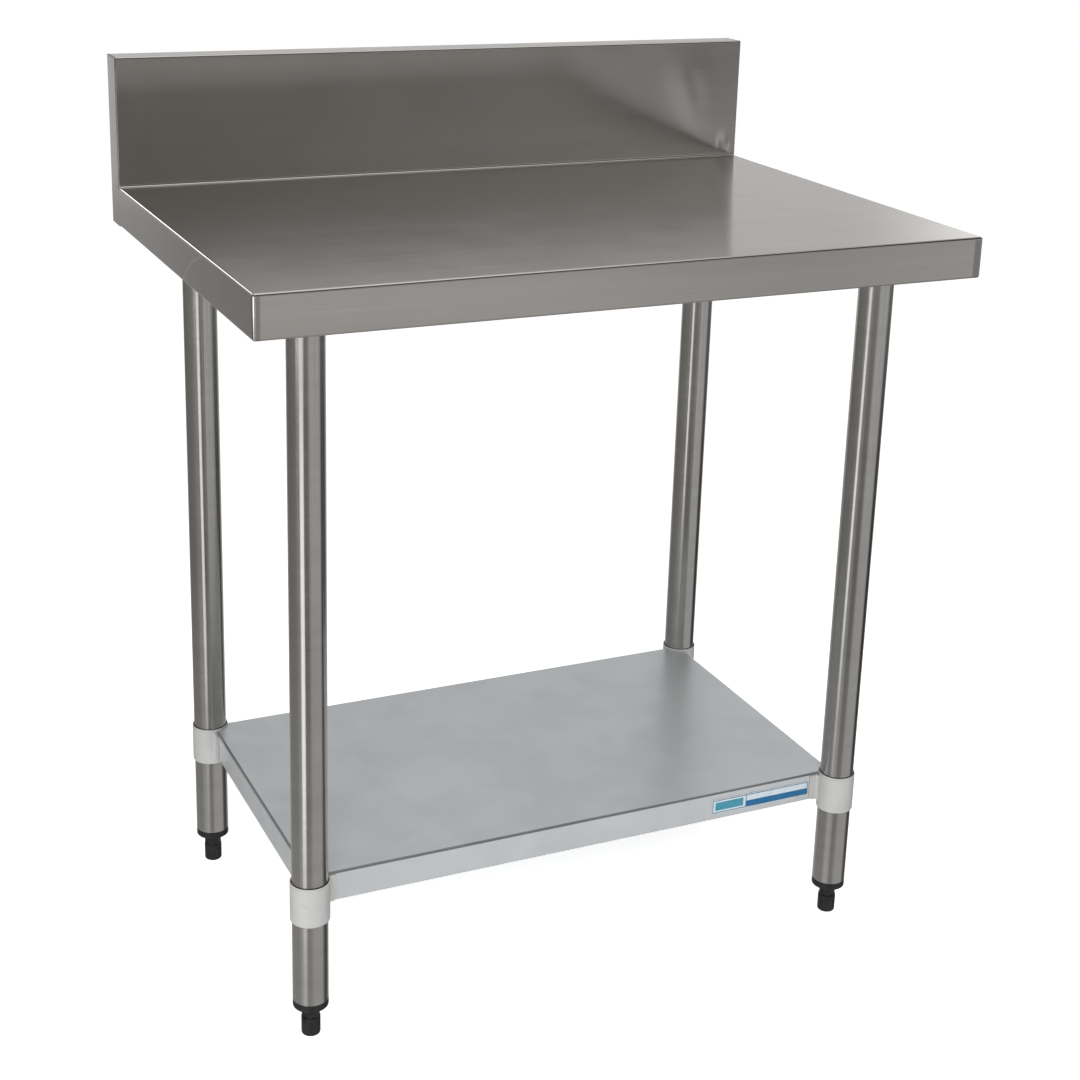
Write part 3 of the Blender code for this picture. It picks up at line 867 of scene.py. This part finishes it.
def make_foot(corner):
    """A bullet foot with a hexagon above its shoulder and a bore for the stem."""
    x, y, _ = leg_axis(corner)
    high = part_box(f"foot_{corner}")[1]
    shoulder, radius, flat = 0.0232, 0.011, 0.0085
    hexagon_radius, hexagon_edge = 0.0108, 0.0005
    toe = arc((flat, radius - flat), radius - flat, 0, -90, 6)
    bullet = [
        (radius - 0.0010, shoulder),
        (radius - 0.0003, shoulder - 0.0004),
        (radius, shoulder - 0.0012),
        (radius, 0.0120),
        *toe,
    ]
    foot = solid_turned(f"foot_{corner}_pad", x, y, bullet, PLASTIC)
    hexagon = prism("hexagon", x, y, hexagon_radius, shoulder - 0.003, high.z, 6, hexagon_edge,
                    PLASTIC)
    join(foot, hexagon)
    bore_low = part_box(f"foot_stem_{corner}")[0].z - GAP
    bore = [(STEM_BORE, high.z + 0.01), (STEM_BORE, bore_low)]
    cut(foot, solid_turned("bore", x, y, bore, PLASTIC))
    install(foot, f"foot_body_{corner}", "black_plastic", f"foot_{corner}")


def make_stem(corner):
    """The threaded stem, with a real helical thread at the coupling's pitch."""
    x, y, _ = leg_axis(corner)
    low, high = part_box(f"foot_stem_{corner}")
    crest_radius = (high.x - low.x) / 2
    pitch, depth, sides, levels = 0.0015, 0.0007, 24, 6
    step = pitch / levels
    count = floor((high.z - low.z) / step)
    rows = []
    for k in range(count + 1):
        z = high.z - k * step
        taper = max(0.0, depth - min(k, count - k) * step)
        row = []
        for i in range(sides):
            phase = (z / pitch + i / sides) % 1
            radius = crest_radius - max(depth * abs(2 * phase - 1), taper)
            row.append((x + radius * cos(tau * i / sides), y + radius * sin(tau * i / sides), z))
        rows.append(row[::-1])
    shape = Shape()
    shape.strip(rows, closed=True)
    shape.face(rows[0][::-1])
    shape.face(rows[-1])
    stem = shape.done(f"foot_stem_{corner}_thread", FASTENERS)
    install(stem, f"stem_{corner}", "zinc_plated", f"foot_stem_{corner}")


# ---- label ----
def make_label():
    """A thin film with rounded corners, its printed face drawn in a little from its edge."""
    low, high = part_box("plain_label")
    film = printed_film(low, high)
    corner, thinning = 0.0015, 0.0001
    outline = []
    for cx, cz, start in (
        (high.x - corner, high.z - corner, 0),
        (low.x + corner, high.z - corner, 90),
        (low.x + corner, low.z + corner, 180),
        (high.x - corner, low.z + corner, 270),
    ):
        outline += arc((cx, cz), corner, start, start + 90, 5)
    mid_x, mid_z = (low.x + high.x) / 2, (low.z + high.z) / 2
    face = [(mid_x + (u - mid_x) * 0.999, low.y, mid_z + (v - mid_z) * 0.99) for u, v in outline]
    edge = [(u, low.y + thinning, v) for u, v in outline]
    rear = [(u, high.y, v) for u, v in outline]
    shape = Shape()
    shape.strip([face, edge, rear], closed=True)
    shape.face(face)
    shape.face(rear)
    bmesh.ops.recalc_face_normals(shape.bm, faces=shape.bm.faces)
    label = shape.done("plain_label_film", film)
    install(label, "shelf_unit", "label_film", "plain_label")


# ---- CAD nodes that keep their own mesh ----
def finish_cad_nodes():
    looks = {
        "top_channel": SHELF_ZINC,
        "shelf_channel": SHELF_ZINC,
        "leg_socket": SHELF_ZINC,
        "top_stud": FASTENERS,
        "top_nut": FASTENERS,
        "socket_screw": FASTENERS,
        "sleeve_screw": FASTENERS,
        "sound_strip": PAD,
    }
    for name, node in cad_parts.items():
        for start, material in looks.items():
            if name.startswith(start):
                for slot in node.material_slots:
                    slot.material = material


# ---- studio ----
# What polished metal sees, as grey rings from the floor up. Each ring has the two elevations in
# degrees over which it takes over from the ring below, its scale (no level may be above it), and
# its levels by azimuth in degrees from +X.
STUDIO_RINGS = [
    # the floor
    (-90, -90, 1.0, [
        (181, 0.34), (202, 0.50), (222, 0.62), (240, 0.34), (262, 0.38), (282, 0.44), (335, 0.42),
        (350, 0.14), (15, 0.06), (38, 0.40), (60, 0.62), (95, 0.45), (118, 0.32), (179, 0.34),
    ]),
    # what the legs mirror
    (-30, -24, 1.0, [
        (181, 0.18), (205, 0.24), (230, 0.20), (238, 0.06), (260, 0.05), (272, 0.34), (300, 0.42),
        (336, 0.44), (347, 0.02), (15, 0.02), (38, 0.40), (60, 0.62), (95, 0.40), (118, 0.17),
    ]),
    # what the skirts mirror
    (-17.5, -12, 1.3, [
        (181, 0.20), (240, 0.20), (258, 0.40), (274, 1.10), (287, 1.20), (298, 0.98), (308, 0.66),
        (342, 0.14), (0, 0.18), (15, 0.14), (38, 0.45), (60, 0.62), (98, 0.82), (102.5, 0.52),
        (104.5, 0.26), (107, 0.05), (179, 0.20),
    ]),
    # three rings: in front of the table what the splashback mirrors, behind it what the
    # worktop and the fold along its front edge mirror
    (-11.6, -10.4, 1.0, [
        (181, 0.30), (205, 0.36), (250, 0.42), (274, 0.36), (281, 0.18), (288, 0.19), (295, 0.19),
        (300, 0.07), (303, 0.12), (308, 0.46), (314, 0.60), (328, 0.60), (345, 0.36), (15, 0.36),
        (38, 0.45), (60, 0.62), (98, 0.80), (103, 0.72), (108, 0.30), (150, 0.30),
    ]),
    (0, 4, 1.6, [
        (181, 0.45), (240, 0.40), (262, 0.36), (276, 0.32), (283, 0.33), (290, 0.48), (301, 0.72),
        (308, 0.60), (314, 0.60), (328, 0.60), (340, 0.40), (15, 0.50), (44, 1.30), (54, 0.85),
        (80, 0.85), (90, 0.85), (98, 0.30), (110, 0.25), (125, 0.45),
    ]),
    (9, 11, 3.0, [
        (181, 0.46), (240, 0.40), (262, 0.34), (274, 0.30), (283, 0.21), (290, 0.25), (300, 0.28),
        (330, 0.30), (5, 0.50), (35, 1.10), (50.8, 1.50), (51.8, 1.32), (52.8, 0.98), (54.2, 0.56),
        (80, 0.54), (82, 0.30), (93.5, 0.50), (95.5, 2.80), (103.5, 2.80), (105.5, 0.30),
        (125, 0.45),
    ]),
    # the dim part above eye level, and the soft light overhead
    (19, 23, 1.0, [
        (181, 0.10), (240, 0.08), (340, 0.08), (10, 0.40), (35, 0.62), (80, 0.62), (88, 0.08),
        (130, 0.08), (179, 0.10),
    ]),
    (54, 62, 1.2, [(0, 1.1), (180, 1.1)]),
]


def make_floor():
    """A pale floor that glows a little, so that it stays pale to the horizon."""
    reach = 40
    corners = [(-reach, -reach, 0), (reach, -reach, 0), (reach, reach, 0), (-reach, reach, 0)]
    mesh = bpy.data.meshes.new("studio_floor")
    mesh.from_pydata(corners, [], [(0, 1, 2, 3)])
    ground = bpy.data.objects.new("studio_floor", mesh)
    bpy.context.scene.collection.objects.link(ground)
    finish = Finish("pale_floor", 0, 0.9)
    speckle = finish.noise((3, 3, 3), detail=3)
    finish.colour(finish.ramp(speckle, (0.3, (0.88, 0.88, 0.88)), (0.7, (0.92, 0.92, 0.92))))
    finish.shader.inputs["Specular IOR Level"].default_value = 0
    finish.shader.inputs["Emission Color"].default_value = (1, 1, 1, 1)
    finish.shader.inputs["Emission Strength"].default_value = 0.56
    mesh.materials.append(finish.material)
    ground.visible_glossy = False


def make_world():
    """Soft studio surroundings from STUDIO_RINGS, warm where dark; the backdrop itself is plain."""
    world = bpy.data.worlds.new("studio")
    bpy.context.scene.world = world
    world.use_nodes = True
    nodes, links = world.node_tree.nodes, world.node_tree.links
    nodes.clear()

    def add(kind, **settings):
        made = nodes.new(f"ShaderNode{kind}")
        for key, value in settings.items():
            setattr(made, key, value)
        return made

    def ramp(source, stops, scale=1.0):
        """A grey ramp of levels up to scale, held as colours up to 1 and scaled afterwards."""
        made = add("ValToRGB")
        elements = made.color_ramp.elements
        while len(elements) < len(stops):
            elements.new(0.5)
        for element, (position, grey) in zip(elements, stops):
            element.position = position
            element.color = (grey / scale, grey / scale, grey / scale, 1)
        links.new(source, made.inputs["Fac"])
        if scale == 1.0:
            return made.outputs["Color"]
        gain = add("Math", operation="MULTIPLY")
        gain.inputs[1].default_value = scale
        links.new(made.outputs["Color"], gain.inputs[0])
        return gain.outputs["Value"]

    coords = add("TexCoord")
    turn = add("TexGradient", gradient_type="RADIAL")
    links.new(coords.outputs["Generated"], turn.inputs["Vector"])
    split = add("SeparateXYZ")
    links.new(coords.outputs["Generated"], split.inputs["Vector"])

    shade = None
    for start, end, scale, around in STUDIO_RINGS:
        stops = sorted(((azimuth / 360 + 0.5) % 1, level) for azimuth, level in around)
        grey = ramp(turn.outputs["Fac"], stops, scale)
        if shade is None:
            shade = grey
            continue
        rise = add("MapRange")
        rise.inputs["From Min"].default_value = sin(radians(start))
        rise.inputs["From Max"].default_value = sin(radians(end))
        links.new(split.outputs["Z"], rise.inputs["Value"])
        mixed = add("MixRGB")
        links.new(rise.outputs["Result"], mixed.inputs["Fac"])
        links.new(shade, mixed.inputs["Color1"])
        links.new(grey, mixed.inputs["Color2"])
        shade = mixed.outputs["Color"]
    brightness = add("MapRange")
    brightness.inputs["From Min"].default_value = 0.05
    brightness.inputs["From Max"].default_value = 0.45
    links.new(shade, brightness.inputs["Value"])
    warmth = add("MixRGB")
    warmth.inputs["Color1"].default_value = (1.06, 1.0, 0.94, 1)
    warmth.inputs["Color2"].default_value = (1.0, 1.0, 1.0, 1)
    links.new(brightness.outputs["Result"], warmth.inputs["Fac"])
    warmed = add("MixRGB", blend_type="MULTIPLY")
    warmed.inputs["Fac"].default_value = 1
    links.new(shade, warmed.inputs["Color1"])
    links.new(warmth.outputs["Color"], warmed.inputs["Color2"])
    studio = add("Background")
    links.new(warmed.outputs["Color"], studio.inputs["Color"])
    plain = add("Background")
    plain.inputs["Color"].default_value = (0.97, 0.97, 0.97, 1)
    sight = add("LightPath")
    chosen = add("MixShader")
    links.new(sight.outputs["Is Camera Ray"], chosen.inputs["Fac"])
    links.new(studio.outputs["Background"], chosen.inputs[1])
    links.new(plain.outputs["Background"], chosen.inputs[2])
    output = add("OutputWorld")
    links.new(chosen.outputs["Shader"], output.inputs["Surface"])


def area_light(name, place, target, width, height, power):
    """A soft rectangular lamp aimed at target, in metres and watts."""
    data = bpy.data.lights.new(name, "AREA")
    data.shape = "RECTANGLE"
    data.size, data.size_y = width, height
    data.energy = power
    lamp = bpy.data.objects.new(name, data)
    bpy.context.scene.collection.objects.link(lamp)
    lamp.location = place
    lamp.rotation_euler = (Vector(target) - Vector(place)).to_track_quat("-Z", "Y").to_euler()
    lamp.visible_camera = False
    return lamp


def make_lights():
    """Two small lamps that the legs and the front left corner mirror, and two large soft ones."""
    area_light("strip_left", (-1.1, -0.9, 0.065), (-0.2, -0.1, 0.065), 0.4, 0.83, 1.1)
    area_light("corner_glint", (-1.25, -0.87, 0.635), (-0.43, -0.3, 0.635), 1.0, 0.09, 0.7)
    aim, size = (0, 0, 0.3), 1.8
    key = area_light("key", (-1.1, -2.6, 2.2), aim, size, size, 118)
    fill = area_light("fill_left", (-2.4, -0.6, 1.0), aim, size, size, 12)
    key.visible_glossy = fill.visible_glossy = False


def make_camera():
    """The viewpoint: well to the left of the middle and above the splashback."""
    data = bpy.data.cameras.new("camera")
    data.sensor_width = 36
    data.lens = 64.03
    data.shift_x, data.shift_y = 0.0123, -0.1296
    camera = bpy.data.objects.new("camera", data)
    bpy.context.scene.collection.objects.link(camera)
    camera.location = (-0.9378, -2.0347, 1.3496)
    camera.rotation_euler = (1.27326, -0.02617, -0.42440)
    bpy.context.scene.camera = camera


make_worktop()
for side_name in ("left", "right"):
    make_splash_end(side_name)
for corner_name, (side_x, side_y) in CORNERS.items():
    make_leg(corner_name)
    make_sleeve(corner_name, side_x, side_y)
    make_insert(corner_name)
    make_foot(corner_name)
    make_stem(corner_name)
make_undershelf()
make_label()
finish_cad_nodes()
make_floor()
make_world()
make_lights()
make_camera()
bpy.context.scene.view_settings.view_transform = "Standard"
